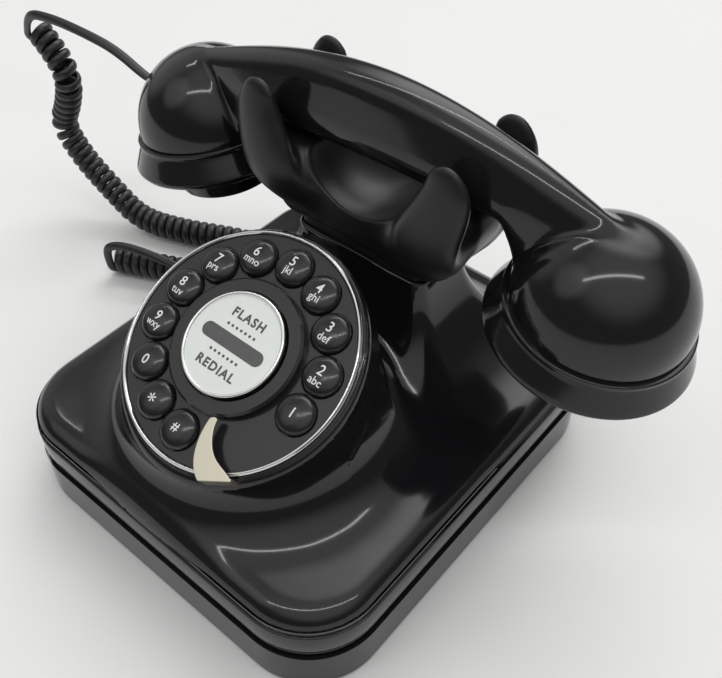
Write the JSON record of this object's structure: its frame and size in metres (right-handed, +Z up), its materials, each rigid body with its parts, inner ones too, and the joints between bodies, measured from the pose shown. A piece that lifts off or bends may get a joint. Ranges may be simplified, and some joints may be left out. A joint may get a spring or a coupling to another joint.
{
  "type": "telephone",
  "caption": "Desk telephone with a cradle handset on a curly cord and push keys set round a tilted dial face with a finger stop.",
  "frame": {"origin": "on the table under the middle of the base", "axes": "+Z up, -Y towards the user, whom the dial faces, +X towards the ear end of the handset"},
  "size_m": [0.3133, 0.17, 0.1423],
  "materials": {
    "black_gloss": "polished moulding",
    "black_satin": "fine satin",
    "chrome": "bright plated",
    "nickel": "satin nickel plate",
    "white_plastic": "smooth",
    "card": "printed card",
    "clear_lens": "clear",
    "rubber": "matte",
    "steel": "zinc plated",
    "iron": "plain",
    "circuit_board": "solder mask",
    "sounder": "plain",
    "capsule": "plain",
    "dark_plastic": "plain",
    "plug_plastic": "smoky clear",
    "cord_jacket": "satin"
  },
  "bodies": {
    "base": {"ballast_plate": "iron", "ballast_screws": "steel", "base_tray": "black_gloss", "board_screws": "steel", "body_shell": "black_gloss", "cord_coil": "cord_jacket", "cord_plug_base": "plug_plastic", "cord_tail_base": "cord_jacket", "cradle": "black_gloss", "cradle_screws": "steel", "dial_plate": "black_satin", "dial_ring": "chrome", "dial_screws": "steel", "finger_stop": "nickel", "handset_socket_base": "dark_plastic", "hook_pin": "steel", "hook_switch": "dark_plastic", "hub_collar": "black_gloss", "key_board": "circuit_board", "key_mat": "rubber", "line_socket": "dark_plastic", "main_board": "circuit_board", "ringer": "sounder", "rocker_pin": "steel", "rubber_feet": "rubber", "tray_screws": "steel"},
    "handset": {"handset_shell": "black_gloss", "handset_cover": "black_gloss", "handset_weight": "iron", "ear_cap": "black_gloss", "mouth_cap": "black_gloss", "receiver": "capsule", "microphone": "capsule", "mic_holder": "rubber", "handset_socket": "dark_plastic", "cord_plug_handset": "plug_plastic", "cord_tail_handset": "cord_jacket"},
    "hook_yoke": {"hook_yoke": "dark_plastic"},
    "hook_lever": {"hook_lever": "white_plastic"},
    "rocker": {"rocker_button": "white_plastic", "rocker_card": "card", "rocker_lens": "clear_lens", "rocker_rim": "chrome"},
    "key_0": {"key_0": "black_gloss"},
    "key_1": {"key_1": "black_gloss"},
    "key_2": {"key_2": "black_gloss"},
    "key_3": {"key_3": "black_gloss"},
    "key_4": {"key_4": "black_gloss"},
    "key_5": {"key_5": "black_gloss"},
    "key_6": {"key_6": "black_gloss"},
    "key_7": {"key_7": "black_gloss"},
    "key_8": {"key_8": "black_gloss"},
    "key_9": {"key_9": "black_gloss"},
    "key_hash": {"key_hash": "black_gloss"},
    "key_star": {"key_star": "black_gloss"}
  },
  "joints": [
    {"name": "handset_lift", "type": "slide", "parent": "base", "child": "handset", "axis": [0, 0, 1], "range_m": [0, 0.1], "deforming": ["cord_coil"]},
    {"name": "hook_yoke_rise", "type": "slide", "parent": "base", "child": "hook_yoke", "axis": [0, 0, 1], "range_m": [0, 0.0035]},
    {"name": "hook_lever_turn", "type": "hinge", "parent": "base", "child": "hook_lever", "pos_m": [0, 0.048, 0.056], "axis": [-1, 0, 0], "range_deg": [0, 12.8]},
    {"name": "rocker_tilt", "type": "hinge", "parent": "base", "child": "rocker", "pos_m": [0, -0.03407, 0.07419], "axis": [1, 0, 0], "range_deg": [-3, 3], "stiffness_Nm_per_rad": 0.4},
    {"name": "key_0_press", "type": "slide", "parent": "base", "child": "key_0", "axis": [0, 0.4787, -0.878], "range_m": [0, 0.0018], "stiffness_N_per_m": 300, "springref_m": -0.0005},
    {"name": "key_1_press", "type": "slide", "parent": "base", "child": "key_1", "axis": [0, 0.4787, -0.878], "range_m": [0, 0.0018], "stiffness_N_per_m": 300, "springref_m": -0.0005},
    {"name": "key_2_press", "type": "slide", "parent": "base", "child": "key_2", "axis": [0, 0.4787, -0.878], "range_m": [0, 0.0018], "stiffness_N_per_m": 300, "springref_m": -0.0005},
    {"name": "key_3_press", "type": "slide", "parent": "base", "child": "key_3", "axis": [0, 0.4787, -0.878], "range_m": [0, 0.0018], "stiffness_N_per_m": 300, "springref_m": -0.0005},
    {"name": "key_4_press", "type": "slide", "parent": "base", "child": "key_4", "axis": [0, 0.4787, -0.878], "range_m": [0, 0.0018], "stiffness_N_per_m": 300, "springref_m": -0.0005},
    {"name": "key_5_press", "type": "slide", "parent": "base", "child": "key_5", "axis": [0, 0.4787, -0.878], "range_m": [0, 0.0018], "stiffness_N_per_m": 300, "springref_m": -0.0005},
    {"name": "key_6_press", "type": "slide", "parent": "base", "child": "key_6", "axis": [0, 0.4787, -0.878], "range_m": [0, 0.0018], "stiffness_N_per_m": 300, "springref_m": -0.0005},
    {"name": "key_7_press", "type": "slide", "parent": "base", "child": "key_7", "axis": [0, 0.4787, -0.878], "range_m": [0, 0.0018], "stiffness_N_per_m": 300, "springref_m": -0.0005},
    {"name": "key_8_press", "type": "slide", "parent": "base", "child": "key_8", "axis": [0, 0.4787, -0.878], "range_m": [0, 0.0018], "stiffness_N_per_m": 300, "springref_m": -0.0005},
    {"name": "key_9_press", "type": "slide", "parent": "base", "child": "key_9", "axis": [0, 0.4787, -0.878], "range_m": [0, 0.0018], "stiffness_N_per_m": 300, "springref_m": -0.0005},
    {"name": "key_hash_press", "type": "slide", "parent": "base", "child": "key_hash", "axis": [0, 0.4787, -0.878], "range_m": [0, 0.0018], "stiffness_N_per_m": 300, "springref_m": -0.0005},
    {"name": "key_star_press", "type": "slide", "parent": "base", "child": "key_star", "axis": [0, 0.4787, -0.878], "range_m": [0, 0.0018], "stiffness_N_per_m": 300, "springref_m": -0.0005}
  ],
  "couplings": [
    {"joint": "hook_yoke_rise", "follows": "handset_lift", "ratio": 0.035},
    {"joint": "hook_lever_turn", "follows": "handset_lift", "rad_per_m": 2.2323}
  ]
}
